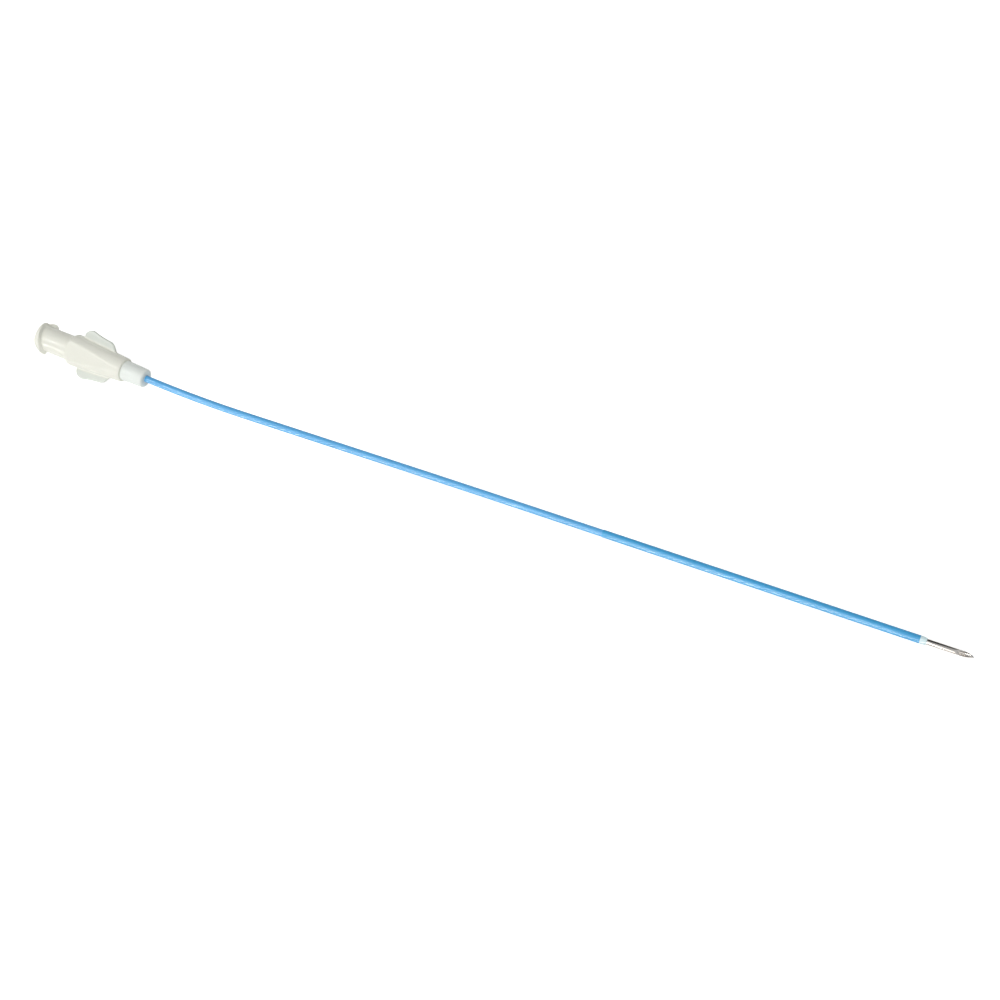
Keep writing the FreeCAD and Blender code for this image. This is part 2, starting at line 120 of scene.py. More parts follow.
class ShaftSizes(bpy.types.PropertyGroup):
    """Sizes of the shaft's route, tube, sleeve and bead."""
    tube_radius: length("Tube radius", "Outer radius of the shaft tube", 0.825)
    bore_radius: length("Bore radius", "Inner radius of the shaft tube", 0.635)
    seat: length("Seat", "Where the tube begins inside the fitting", 13.2)
    first_leg: length("First leg", "From the nose to the first bend's corner", 15.5)
    sag_reach: length("Sag reach", "Run from the first bend's corner to the second's", 66.8)
    sag_side: length("Sag side", "Sideways run between the bends' corners", 6.1426)
    landing_leg: length("Landing leg", "From the second bend's corner to the sleeve", 33.72)
    exit_bend: FloatProperty(name="Exit bend", default=0.75, min=0.0, max=1.0,
                             description="Share of the first leg that the first bend takes")
    landing_bend: FloatProperty(name="Landing bend", default=0.3, min=0.0, max=1.0,
                                description="Share of the middle leg that the last bend takes")
    yaw: angle("Yaw", "Turn of the straight distal part from the hub's axis", 3.68)
    sleeve_radius: length("Sleeve radius", "Outer radius of the distal sleeve", 0.91)
    sleeve_length: length("Sleeve length", "Length of the distal sleeve", 72.2)
    bead_length: length("Bead length", "Length of the bead round the needle", 1.45)
    bead_end_radius: length("Bead end radius", "Radius of the bead at its front", 0.685)


class NeedleSizes(bpy.types.PropertyGroup):
    """Sizes of the steel cannula and its ground point."""
    radius: length("Radius", "Outer radius of the cannula", 0.635)
    bore: length("Bore radius", "Inner radius of the cannula", 0.42)
    reach: length("Reach", "From the sleeve's end to the point", 11.7)
    anchor: length("Anchor", "Length of the cannula inside the tube", 30.0)
    bevel_length: length("Bevel length", "Length of the long bevel", 4.4)
    grind_angle: angle("Grind angle", "Slope of the two side grinds", 20.0)
    grind_turn: angle("Grind turn", "Turn of each side grind about the axis", 45.0)
    bevel_turn: angle("Bevel turn", "Roll of the whole point about the axis", 25.0)


class Finishes(bpy.types.PropertyGroup):
    """Colours of the needle's materials."""
    cream: colour("Cream plastic", "Fitting and winged cap", 242, 242, 231)
    # Painted shade: a darker cream for the wings that stands in for the shade falling on them,
    # not a colour of the plastic.
    painted_wing_shade: colour("Thin cream plastic", "Wings of the cap", 229, 233, 225)
    cool_white: colour("Cool white plastic", "Strain relief", 240, 245, 240)
    tube_blue: colour("Tube blue", "Shaft tube", 102, 190, 250)
    sleeve_blue: colour("Sleeve blue", "Distal sleeve", 76, 182, 242)
    bead_white: colour("Bead", "Clouded bead round the needle", 228, 250, 254)
    steel: colour("Steel", "Drawn needle steel", 206, 200, 193)
    table: colour("Table", "Plain table top", 250, 250, 250)


class StageSettings(bpy.types.PropertyGroup):
    """Table, lights and the camera's place."""
    table_size: length("Table size", "Side of the table top", 4000.0)
    camera_distance: length("Camera distance", "From the aim point to the camera", 421.3)
    camera_azimuth: angle("Camera azimuth", "Turn of the camera round the needle", 38.16)
    camera_height: angle("Camera elevation", "Camera's angle above the table", 60.94)
    camera_roll: angle("Camera roll", "Tilt of the camera about its own axis", -12.5)
    aim_x: length("Aim X", "Point that the camera looks at", 121.0)
    aim_y: length("Aim Y", "Point that the camera looks at", 6.89)
    lens: FloatProperty(name="Lens", description="Focal length for a 36 mm wide frame",
                        default=67.18 * MM, unit="CAMERA")


GROUPS = {
    "needle_hub": HubSizes,
    "needle_shaft": ShaftSizes,
    "needle_point": NeedleSizes,
    "needle_finish": Finishes,
    "needle_stage": StageSettings,
}


def settings(name):
    return getattr(bpy.context.scene, name)


# Outlines and turned skins

def rounded(corners, steps=6):
    """Outline through (x, r, radius) corners, each turned into an arc of its radius."""
    points = []
    for i, (x, r, radius) in enumerate(corners):
        here = Vector((x, r))
        if radius <= 0.0:
            points.append((x, r))
            continue
        back = (Vector(corners[i - 1][:2]) - here).normalized()
        ahead = (Vector(corners[(i + 1) % len(corners)][:2]) - here).normalized()
        half = back.angle(ahead) / 2
        centre = here + (back + ahead).normalized() * (radius / math.sin(half))
        first = here + back * (radius / math.tan(half)) - centre
        last = here + ahead * (radius / math.tan(half)) - centre
        start = math.atan2(first.y, first.x)
        turn = (math.atan2(last.y, last.x) - start + math.pi) % math.tau - math.pi
        for k in range(steps + 1):
            a = start + turn * k / steps
            points.append((centre.x + radius * math.cos(a), centre.y + radius * math.sin(a)))
    return points


def skin(name, rings, material, own_places=None):
    """Closed hollow skin: every ring is closed, and the last ring joins the first.

    Its surface patterns follow own_places, the points as if the piece lay straight on X.
    """
    count = len(rings[0])
    points = [p for ring in rings for p in ring]
    total = len(points)
    faces = []
    for i in range(len(rings)):
        a, b = i * count, (i + 1) * count
        for j in range(count):
            k = (j + 1) % count
            faces.append((a + j, a + k, (b + k) % total, (b + j) % total))
    mesh = bpy.data.meshes.new(name)
    mesh.from_pydata(points, [], faces)
    store = mesh.attributes.new("own_place", "FLOAT_VECTOR", "POINT")
    store.data.foreach_set("vector", [c for p in (own_places or points) for c in p])
    mesh.shade_smooth()
    mesh.set_sharp_from_angle(angle=SHARP_EDGE)
    made = bpy.data.objects.new(name, mesh)
    bpy.context.scene.collection.objects.link(made)
    mesh.materials.append(material)
    return made


def turned(name, profile_at, columns, material):
    """Skin turned about the X axis; profile_at(angle) gives the closed (x, r) outline there."""
    rings = []
    for a in columns:
        side = Vector((0.0, -math.sin(a), math.cos(a)))
        rings.append([Vector((x, 0.0, 0.0)) + side * r for x, r in profile_at(a)])
    return skin(name, rings, material)


def even_columns(count):
    return [math.tau * i / count for i in range(count)]


def finish_piece(piece, node):
    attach(piece, ROOT)
    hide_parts(node)


def smooth_step(value):
    share = min(max(value, 0.0), 1.0)
    return share * share * (3.0 - 2.0 * share)


def mixed(first, second, share):
    return first + (second - first) * share


# Shader groups and materials

def new_group(name, inputs, outputs):
    """Empty shader group with its named sockets, and its two end nodes."""
    tree = bpy.data.node_groups.new(name, "ShaderNodeTree")
    for kind, label, default in inputs:
        socket = tree.interface.new_socket(name=label, in_out="INPUT", socket_type=kind)
        socket.default_value = default
    for kind, label in outputs:
        tree.interface.new_socket(name=label, in_out="OUTPUT", socket_type=kind)
    return tree, tree.nodes.new("NodeGroupInput"), tree.nodes.new("NodeGroupOutput")


def add_node(tree, kind, values=(), **facts):
    """A node with its attributes set, and its input sockets set by name or number."""
    node = tree.nodes.new(kind)
    for key, value in facts.items():
        setattr(node, key, value)
    for key, value in dict(values).items():
        if isinstance(value, bpy.types.NodeSocket):
            tree.links.new(value, node.inputs[key])
        else:
            node.inputs[key].default_value = value
    return node


def maths(tree, operation, *values, clamp=False):
    """Result of a maths node whose inputs are sockets or plain numbers."""
    return add_node(tree, "ShaderNodeMath", dict(enumerate(values)), operation=operation,
                    use_clamp=clamp).outputs[0]


def ranged(tree, value, before, after):
    """A socket's value mapped from one (low, high) range to another, held at the ends."""
    numbers = dict(enumerate((value, *before, *after)))
    return add_node(tree, "ShaderNodeMapRange", numbers).outputs[0]


def blended(tree, share, first, second):
    """Two colours mixed by a share."""
    return add_node(tree, "ShaderNodeMix", {"Factor": share, "A": first, "B": second},
                    data_type="RGBA").outputs["Result"]


def stretched_noise(tree, stretch, scale, detail):
    """Noise in the piece's own straight coordinates, stretched by a (x, y, z) factor."""
    place = add_node(tree, "ShaderNodeAttribute", attribute_name="own_place")
    mapping = add_node(tree, "ShaderNodeMapping", {"Vector": place.outputs["Vector"],
                                                   "Scale": stretch})
    return add_node(tree, "ShaderNodeTexNoise", {"Vector": mapping.outputs[0], "Scale": scale,
                                                 "Detail": detail}).outputs[0]


def surface_group(name, inputs):
    """Group with two colours and some amounts in, and colour, roughness and height out."""
    first, second, *amounts = inputs
    return new_group(name, [
        ("NodeSocketColor", first, (0.8, 0.8, 0.8, 1.0)),
        ("NodeSocketColor", second, (0.7, 0.7, 0.7, 1.0)),
        *(("NodeSocketFloat", label, default) for label, default in amounts),
    ], [
        ("NodeSocketColor", "Color"),
        ("NodeSocketFloat", "Roughness"),
        ("NodeSocketFloat", "Height"),
    ])


def finish_group(tree, end, colour_out, rough, height):
    for label, value in (("Color", colour_out), ("Roughness", rough), ("Height", height)):
        tree.links.new(value, end.inputs[label])
    return tree


def moulding_group():
    """Moulded plastic: cloudy tint, flow lines from the gate and a fine eroded grain."""
    tree, start, end = surface_group("moulded_surface", [
        "Color", "Shade", ("Cloud", 0.3), ("Grain", 0.5), ("Base Roughness", 0.3)])
    given = start.outputs
    cloud = stretched_noise(tree, EVENLY, scale=260.0, detail=4.0)
    flow = stretched_noise(tree, (0.15, 1.0, 1.0), scale=1500.0, detail=3.0)
    grain = stretched_noise(tree, EVENLY, scale=9000.0, detail=2.0)
    blotch = maths(tree, "MULTIPLY", cloud, flow)
    share = maths(tree, "MULTIPLY", blotch, given["Cloud"], clamp=True)
    tint = blended(tree, share, given["Color"], given["Shade"])
    uneven = ranged(tree, flow, (0.3, 0.7), (-0.05, 0.07))
    rough = maths(tree, "ADD", uneven, given["Base Roughness"])
    fine = maths(tree, "MULTIPLY", grain, given["Grain"])
    height = maths(tree, "MULTIPLY_ADD", flow, 0.35, fine)
    return finish_group(tree, end, tint, rough, height)


def drawn_group():
    """Extruded or drawn tube: streaks along it, slow bands of tint and fine scratches."""
    tree, start, end = surface_group("drawn_surface", [
        "Color", "Streak", ("Streaks", 0.5), ("Bands", 0.3), ("Base Roughness", 0.2)])
    given = start.outputs
    streak = stretched_noise(tree, (0.02, 1.0, 1.0), scale=5200.0, detail=3.0)
    band = stretched_noise(tree, (1.0, 0.2, 0.2), scale=70.0, detail=2.0)
    fine = stretched_noise(tree, (0.05, 1.0, 1.0), scale=16000.0, detail=2.0)
    lines = maths(tree, "MULTIPLY", streak, given["Streaks"])
    share = maths(tree, "MULTIPLY_ADD", band, given["Bands"], lines, clamp=True)
    tint = blended(tree, share, given["Color"], given["Streak"])
    uneven = ranged(tree, fine, (0.3, 0.7), (-0.04, 0.06))
    rough = maths(tree, "ADD", uneven, given["Base Roughness"])
    height = maths(tree, "MULTIPLY_ADD", fine, 0.4, streak)
    return finish_group(tree, end, tint, rough, height)


def surface_material(name, group, values, bump, **shader):
    """Principled material fed by one surface group, with its constants on its own sockets."""
    material = bpy.data.materials.new(name)
    material.use_nodes = True
    tree = material.node_tree
    tree.nodes.clear()
    surface = add_node(tree, "ShaderNodeGroup", node_tree=group)
    for key, value in values.items():
        surface.inputs[key].default_value = value
    relief = add_node(tree, "ShaderNodeBump", {"Height": surface.outputs["Height"],
                                               "Strength": bump[0], "Distance": bump[1]})
    principled = add_node(tree, "ShaderNodeBsdfPrincipled", {
        "Base Color": surface.outputs["Color"],
        "Roughness": surface.outputs["Roughness"],
        "Normal": relief.outputs[0],
    })
    for key, value in shader.items():
        principled.inputs[key.replace("_", " ")].default_value = value
    out = add_node(tree, "ShaderNodeOutputMaterial", {"Surface": principled.outputs[0]})
    out.is_active_output = True
    return material


def shade_of(tone, factor):
    return tuple(c * factor for c in tone) + (1.0,)


def solid(tone):
    return tuple(tone) + (1.0,)


def get_group(name, build):
    return bpy.data.node_groups.get(name) or build()


def moulded(name, tone, cloud, grain, roughness, **shader):
    group = get_group("moulded_surface", moulding_group)
    return surface_material(name, group, {
        "Color": solid(tone), "Shade": shade_of(tone, MOULD_SHADE), "Cloud": cloud,
        "Grain": grain, "Base Roughness": roughness,
    }, MOULD_BUMP, **shader)


def tint_where(material, attribute, tone):
    """Mixes a second tone into the base colour where the piece's attribute is 1."""
    tree = material.node_tree
    target = tree.nodes["Principled BSDF"].inputs["Base Color"]
    where = add_node(tree, "ShaderNodeAttribute", attribute_name=attribute)
    tree.links.new(blended(tree, where.outputs["Fac"], target.links[0].from_socket, tone), target)


def drawn(name, tone, streak_factor, streaks, bands, roughness, bump, **shader):
    group = get_group("drawn_surface", drawn_group)
    return surface_material(name, group, {
        "Color": solid(tone), "Streak": shade_of(tone, streak_factor), "Streaks": streaks,
        "Bands": bands, "Base Roughness": roughness,
    }, bump, **shader)


# The hub

class NEEDLE_OT_fitting(bpy.types.Operator):
    """Luer fitting: tapered socket, rim with two helical lugs, barrel and hidden spigot"""
    bl_idname = "needle.fitting"
    bl_label = "Luer fitting"

    COLUMNS = 240
    RIM_ROUND = 0.4 * MM
    RIM_SPACE = 0.04 * MM
    RIM_FLANK = 0.02 * MM
    ROOT_ROUND = 0.18 * MM
    EDGE_ROUND = 0.12 * MM
    RIDGE_ROUND = 0.3 * MM
    LUG_RISE = 0.1 * MM
    LUG_FLANK = 0.32 * MM
    LUG_END = math.radians(7.0)
    RUN_OUT = math.radians(12.0)
    RUN_OUT_PAST = 0.52
    # Behind a high lug's ridge a groove opens: where it starts and its run, the rim's drop, and
    # (share of the way from rim to ridge, depth) of its points
    GROOVE_FROM = 1.2 * MM
    GROOVE_RUN = 1.0 * MM
    RIM_DROP = 0.5 * MM
    GROOVE = ((0.25, 0.55 * MM), (0.42, 0.2 * MM), (0.62, 0.0))
    MOUTH_CHAMFER = 0.15 * MM
    MOUTH_ROUND = 0.1 * MM
    SOCKET_ROUND = 0.2 * MM
    SOCKET_FLOOR = 1.3 * MM

    def lug_share(self, a):
        """0 on the plain rim and 1 on a lug, and how far round the lug this angle is."""
        hub = settings("needle_hub")
        best, along = 0.0, 0.0
        for turn in (hub.lug_turn, hub.lug_turn + math.pi):
            past = (a - turn + math.pi) % math.tau - math.pi
            if past < -self.LUG_END:
                past += math.tau
            fade = hub.lug_span + self.RUN_OUT * self.RUN_OUT_PAST - past
            share = smooth_step(min((past + self.LUG_END / 2) / self.LUG_END,
                                    fade / self.RUN_OUT))
            if share > best:
                best, along = share, min(max(past, 0.0), hub.lug_span)
        return best, along

    def profile(self, a):
        hub, shaft = settings("needle_hub"), settings("needle_shaft")
        share, along = self.lug_share(a)
        front = hub.lug_start + hub.lug_lead * along / math.tau
        crest = min(hub.lug_radius, hub.collar_radius + self.LUG_RISE + front)
        top = mixed(hub.collar_radius, crest, share)
        edge = max(mixed(hub.collar_length, front, share),
                   self.RIM_ROUND + self.EDGE_ROUND + self.RIM_SPACE)
        split = share * smooth_step((front - self.GROOVE_FROM) / self.GROOVE_RUN)
        edge_round = mixed(self.EDGE_ROUND, self.RIDGE_ROUND, split)
        groove = [(mixed(self.RIM_ROUND, edge - edge_round, spot), top - deep * split, 0.0)
                  for spot, deep in self.GROOVE]
        flank = mixed(self.RIM_FLANK, self.LUG_FLANK, share)
        chamfer = self.MOUTH_CHAMFER
        taper = hub.luer_taper / 2
        socket_end = hub.mouth_radius - taper * hub.luer_depth
        cannula = settings("needle_point").radius
        seat = shaft.tube_radius + CLEARANCE
        return rounded([
            (0.0, hub.mouth_radius + chamfer, 0.0),
            (0.0, top - self.RIM_DROP * split, self.RIM_ROUND),
            *groove,
            (edge, top, edge_round),
            (edge + flank, hub.barrel_radius, self.ROOT_ROUND),
            (mixed(edge, hub.barrel_length, 0.5), hub.barrel_radius, 0.0),
            (hub.barrel_length, hub.barrel_radius, self.EDGE_ROUND),
            (hub.barrel_length, hub.spigot_radius, 0.0),
            (hub.spigot_end, hub.spigot_radius, 0.0),
            (hub.spigot_tip, hub.tip_radius, 0.0),
            (hub.spigot_tip, seat, 0.0),
            (shaft.seat, seat, 0.0),
            (shaft.seat, cannula, 0.0),
            (hub.luer_depth + self.SOCKET_FLOOR, cannula, 0.0),
            (hub.luer_depth, socket_end, self.SOCKET_ROUND),
            (mixed(chamfer, hub.luer_depth, 0.5), hub.mouth_radius - taper * hub.luer_depth / 2,
             0.0),
            (chamfer, hub.mouth_radius - taper * chamfer, self.MOUTH_ROUND),
        ])

    def execute(self, context):
        tone = settings("needle_finish").cream
        material = moulded("cream_moulding", tone, cloud=0.35, grain=0.35, roughness=0.24,
                           Coat_Weight=0.16, Specular_IOR_Level=0.12)
        piece = turned("hub_fitting", self.profile, even_columns(self.COLUMNS), material)
        finish_piece(piece, "luer_fitting")
        return {"FINISHED"}


class NEEDLE_OT_cap(bpy.types.Operator):
    """Winged cap: cone with two flats, two lobed wings with rounded rims, hollow inside"""
    bl_idname = "needle.cap"
    bl_label = "Winged cap"

    REAR_LOBE = Vector((13.25, 4.10)) * MM
    REAR_R = 1.95 * MM
    FRONT_LOBE = Vector((18.05, 3.00)) * MM
    FRONT_R = 2.2 * MM
    DIP_R = 20.0 * MM
    RAMP = math.radians(35.0)
    ROOT_BLEND = 0.22 * MM
    FLAT_BLEND = 0.10 * MM
    THIN_FROM = 0.6 * MM
    HOLLOW_GAP = 0.05 * MM
    # Range in which a ray from the axis finds the surface, and how often it is halved
    RAY = (2.0 * MM, 7.0 * MM)
    HALVINGS = 16
    # Places along the cap: steps of its arcs, and (count, spacing) on each side of the heel
    SHOULDER_STEPS = 8
    LIP_STEPS = 5
    HEEL_STEPS = 30
    REAR_RUN = (6, -0.05 * MM)
    FRONT_RUN = (44, 0.2 * MM)
    LAND_PLACES = (10.0 * MM, 10.5 * MM)
    LEAST_STEP = 0.4e-6
    # Degrees from the flat's middle to the wing, closer together towards the wing's faces
    QUARTER = (*range(0, 46, 3), *range(49, 70, 4), 72, 74, 76, 77.5, 79, 80, 81, 82, 82.7, 83.3,
               83.8, 84.3, 84.8, 85.3, 85.8, 86.3, 87, 88, 89)

    def lay_out(self):
        """Places the dip's centre and the points where the wing's arcs meet."""
        self.hub = settings("needle_hub")
        span = self.FRONT_LOBE - self.REAR_LOBE
        far = self.REAR_R + self.DIP_R
        near = self.FRONT_R + self.DIP_R
        along = (far ** 2 - near ** 2 + span.length ** 2) / (2 * span.length)
        step = span.normalized()
        out = Vector((-step.y, step.x)) * math.sqrt(far ** 2 - along ** 2)
        self.dip = self.REAR_LOBE + step * along + out
        self.rear_meet = self.REAR_LOBE + (self.dip - self.REAR_LOBE).normalized() * self.REAR_R
        self.front_meet = (self.FRONT_LOBE
                           + (self.dip - self.FRONT_LOBE).normalized() * self.FRONT_R)
        self.ramp_way = Vector((math.cos(self.RAMP), math.sin(self.RAMP)))
        self.ramp_meet = self.FRONT_LOBE + self.ramp_way * self.FRONT_R

    def outline_gap(self, x, y):
        """Distance from the wing's outline, negative inside it."""
        here = Vector((x, y))
        if x <= self.rear_meet.x:
            if y <= self.REAR_LOBE.y:
                return self.REAR_LOBE.x - self.REAR_R - x
            return (here - self.REAR_LOBE).length - self.REAR_R
        if x <= self.front_meet.x:
            return self.DIP_R - (here - self.dip).length
        out = here - self.FRONT_LOBE
        if out.angle_signed(self.ramp_way, 0.0) > 0.0 and out.y > 0.0:
            return out.length - self.FRONT_R
        return (here - self.ramp_meet).dot(self.ramp_way)

    def body_radius(self, x):
        hub = self.hub
        rear, front = hub.barrel_length, hub.barrel_length + hub.cap_length
        slope = (hub.cap_rear_radius - hub.cap_front_radius) / (hub.cap_length - hub.cap_land)
        radius = hub.cap_rear_radius - slope * max(x - rear - hub.cap_land, 0.0)
        for gap, rounding in ((x - rear, hub.cap_rear_round), (front - x, hub.cap_front_round)):
            if gap < rounding:
                short = rounding - max(gap, 0.0)
                radius -= rounding - math.sqrt(max(rounding ** 2 - short ** 2, 0.0))
        return radius

    def gap(self, x, y, z):
        """Distance from the cap's outside, negative within, y towards a wing's tip."""
        hub = self.hub
        around = math.hypot(y, z) - self.body_radius(x)
        flat = abs(z) - hub.flat_height
        k = self.FLAT_BLEND
        blend = max(k - abs(around - flat), 0.0) / k
        body = max(around, flat) + blend * blend * k / 4
        e = hub.wing_edge_round
        over = self.outline_gap(x, abs(y)) + e
        thick = abs(z) - hub.wing_thickness / 2 + e
        wing = math.hypot(max(over, 0.0), max(thick, 0.0)) + min(max(over, thick), 0.0) - e
        k = self.ROOT_BLEND
        blend = max(k - abs(body - wing), 0.0) / k
        return min(body, wing) - blend * blend * k / 4

    def thin_share(self, spot):
        """0 on the cap's body and 1 out on a wing, where the plastic is thin; it masks the
        painted shade on the wings.
        """
        out = math.hypot(spot.y, spot.z) - self.body_radius(spot.x)
        return smooth_step(out / self.THIN_FROM)

    def outer_radius(self, x, a):
        """Where a ray from the axis leaves the cap."""
        y, z = math.sin(a), math.cos(a)
        low, high = self.RAY
        for _ in range(self.HALVINGS):
            middle = (low + high) / 2
            if self.gap(x, y * middle, z * middle) > 0.0:
                high = middle
            else:
                low = middle
        return (low + high) / 2

    def stations(self):
        """Places along the cap, close together where the wings start and where edges are."""
        hub = self.hub
        rear, front = hub.barrel_length, hub.barrel_length + hub.cap_length
        heel = self.REAR_LOBE.x - self.REAR_R

        def arc(start, reach, steps):
            return [start + reach * (1 - math.cos(math.pi / 2 * i / steps))
                    for i in range(steps + 1)]

        def run(start, count, step):
            return [start + step * i for i in range(1, count + 1)]

        places = {*self.LAND_PLACES,
                  *arc(rear, hub.cap_rear_round, self.SHOULDER_STEPS),
                  *arc(front, -hub.cap_front_round, self.LIP_STEPS),
                  *arc(heel, self.REAR_R, self.HEEL_STEPS),
                  *run(heel, *self.REAR_RUN),
                  *run(heel + self.REAR_R, *self.FRONT_RUN)}
        places = sorted(x for x in places if rear <= x <= front)
        return [x for i, x in enumerate(places)
                if i == 0 or x - places[i - 1] > self.LEAST_STEP]

    def columns(self):
        """Angles round the cap, close together at the wings."""
        quarter = [math.radians(v) for v in self.QUARTER]
        right = math.pi / 2
        half = quarter + [right] + [math.pi - v for v in reversed(quarter)]
        return half[:-1] + [v + math.pi for v in half[:-1]]

    def execute(self, context):
        self.lay_out()
        hub, shaft = self.hub, settings("needle_shaft")
        stations = self.stations()
        rear, front = stations[0], stations[-1]
        clear = self.HOLLOW_GAP
        plug = front - hub.plug_length
        inside = [
            (front, hub.plug_radius + clear),
            (plug, hub.plug_radius + clear),
            (plug, shaft.tube_radius + clear),
            (hub.spigot_tip + clear, shaft.tube_radius + clear),
            (hub.spigot_tip + clear, hub.tip_radius + clear),
            (hub.spigot_end + clear, hub.spigot_radius + clear),
            (rear, hub.spigot_radius + clear),
        ]

        def profile(a):
            return [(x, self.outer_radius(x, a)) for x in stations] + inside

        tone = settings("needle_finish").cream
        material = moulded("cap_moulding", tone, cloud=0.35, grain=0.35, roughness=0.24,
                           Coat_Weight=0.14, Specular_IOR_Level=0.12)
        # Painted shade: the darker wing cream is mixed into the base colour out on the wings.
        tint_where(material, "thin", solid(settings("needle_finish").painted_wing_shade))
        piece = turned("wing_cap", profile, self.columns(), material)
        thin = piece.data.attributes.new("thin", "FLOAT", "POINT")
        thin.data.foreach_set("value", [self.thin_share(v.co) for v in piece.data.vertices])
        arm = hub.wing_reach - hub.wing_edge_round
        rise = hub.wing_thickness / 2 - hub.wing_edge_round
        drop = hub.lug_radius - hub.wing_edge_round
        roll = math.asin(drop / math.hypot(arm, rise)) - math.atan(rise / arm)
        piece.data.transform(Matrix.Rotation(roll, 4, "X"))
        finish_piece(piece, "winged_cap")
        return {"FINISHED"}


class NEEDLE_OT_nose(bpy.types.Operator):
    """Strain relief: the short nose that the shaft leaves the hub through"""
    bl_idname = "needle.nose"
    bl_label = "Strain relief"

    COLUMNS = 120
    ROOT_ROUND = 0.05 * MM
    HOLE_ROUND = 0.08 * MM

    def execute(self, context):
        hub, shaft = settings("needle_hub"), settings("needle_shaft")
        rear = hub.barrel_length + hub.cap_length
        front = rear + hub.relief_length
        middle = mixed(rear, front, 0.5)
        hole = shaft.tube_radius + CLEARANCE
        outline = rounded([
            (rear - hub.plug_length, hole, 0.0),
            (rear - hub.plug_length, hub.plug_radius, 0.0),
            (rear, hub.plug_radius, 0.0),
            (rear, hub.relief_root_radius, self.ROOT_ROUND),
            (middle, mixed(hub.relief_root_radius, hub.relief_end_radius, 0.5), 0.0),
            (front, hub.relief_end_radius, hub.relief_round),
            (front, hole, self.HOLE_ROUND),
            (middle, hole, 0.0),
        ], steps=8)
        tone = settings("needle_finish").cool_white
        material = moulded("nose_moulding", tone, cloud=0.3, grain=0.5, roughness=0.28,
                           Coat_Weight=0.12, Specular_IOR_Level=0.12)
        piece = turned("nose", lambda a: outline, even_columns(self.COLUMNS), material)
        finish_piece(piece, "strain_relief")
        return {"FINISHED"}


# The shaft

def shaft_corners():
    """Corners of the shaft's centre line, from its seat in the fitting to the sleeve's end."""
    hub, shaft = settings("needle_hub"), settings("needle_shaft")
    leave = hub.barrel_length + hub.cap_length + hub.relief_length
    bend = Vector((leave + shaft.first_leg, 0.0, 0.0))
    table = shaft.sleeve_radius - hub.lug_radius
    land = Vector((bend.x + shaft.sag_reach, shaft.sag_side, table))
    ahead = Vector((math.cos(shaft.yaw), math.sin(shaft.yaw), 0.0))
    end = land + ahead * (shaft.landing_leg + shaft.sleeve_length)
    return Vector((shaft.seat, 0.0, 0.0)), Vector((leave, 0.0, 0.0)), bend, land, end


def shaft_line(steps=32, end_steps=8):
    """Centre points and directions: straight runs joined by tangent arcs at the two bends."""
    shaft = settings("needle_shaft")
    seat, leave, bend, land, end = shaft_corners()
    line = [seat, mixed(seat, leave, 0.5), leave]
    bends = ((bend, leave, land, shaft.exit_bend), (land, bend, end, shaft.landing_bend))
    for corner, before, after, share in bends:
        tangent = share * (before - corner).length
        back, ahead = (before - corner).normalized(), (after - corner).normalized()
        half = back.angle(ahead) / 2
        radius = tangent * math.tan(half)
        centre = corner + (back + ahead).normalized() * (tangent / math.cos(half))
        start = corner + back * tangent - centre
        middle = -(back + ahead).normalized() * radius
        across = (start - middle * (start.dot(middle) / middle.length_squared)).normalized()
        spread = math.pi / 2 - half
        for k in range(steps + 1):
            a = spread * (1 - 2 * k / steps)
            line.append(centre + middle * math.cos(a) + across * (radius * math.sin(a)))
    line += [mixed(line[-1], end, k / end_steps) for k in range(1, end_steps + 1)]
    ways = []
    for i, here in enumerate(line):
        before = line[max(i - 1, 0)]
        after = line[min(i + 1, len(line) - 1)]
        ways.append((after - before).normalized())
    return line, ways


def distal_place(along, roll=0.0):
    """Matrix that puts a piece built on the X axis on the shaft's straight distal line."""
    shaft = settings("needle_shaft")
    land = shaft_corners()[3]
    yaw = Matrix.Rotation(shaft.yaw, 4, "Z")
    spot = land + yaw @ Vector((along, 0.0, 0.0))
    return Matrix.Translation(spot) @ yaw @ Matrix.Rotation(roll, 4, "X")


class NEEDLE_OT_tube(bpy.types.Operator):
    """Shaft tube: thin-walled blue tube along its route over the table"""
    bl_idname = "needle.tube"
    bl_label = "Shaft tube"

    SIDES = 40

    def execute(self, context):
        shaft = settings("needle_shaft")
        line, ways = shaft_line()
        columns = even_columns(self.SIDES)
        outer, inner = [], []
        own_outer, own_inner = [], []
        along, last = 0.0, line[0]
        for here, way in zip(line, ways):
            along += (here - last).length
            last = here
            left = Vector((0.0, 0.0, 1.0)).cross(way).normalized()
            up = way.cross(left)
            spokes = [left * math.cos(a) + up * math.sin(a) for a in columns]
            outer.append([here + s * shaft.tube_radius for s in spokes])
            inner.append([here + s * shaft.bore_radius for s in spokes])
            for radius, own in ((shaft.tube_radius, own_outer), (shaft.bore_radius, own_inner)):
                own.append([(along, radius * math.cos(a), radius * math.sin(a))
                            for a in columns])
        tone = settings("needle_finish").tube_blue
        material = drawn("tube_blue", tone, streak_factor=0.72, streaks=0.3, bands=0.35,
                         roughness=0.15, bump=(0.05, 0.02 * MM), Coat_Weight=0.6)
        own_places = [p for ring in own_outer + own_inner[::-1] for p in ring]
        piece = skin("shaft", outer + inner[::-1], material, own_places)
        finish_piece(piece, "shaft_tube")
        return {"FINISHED"}


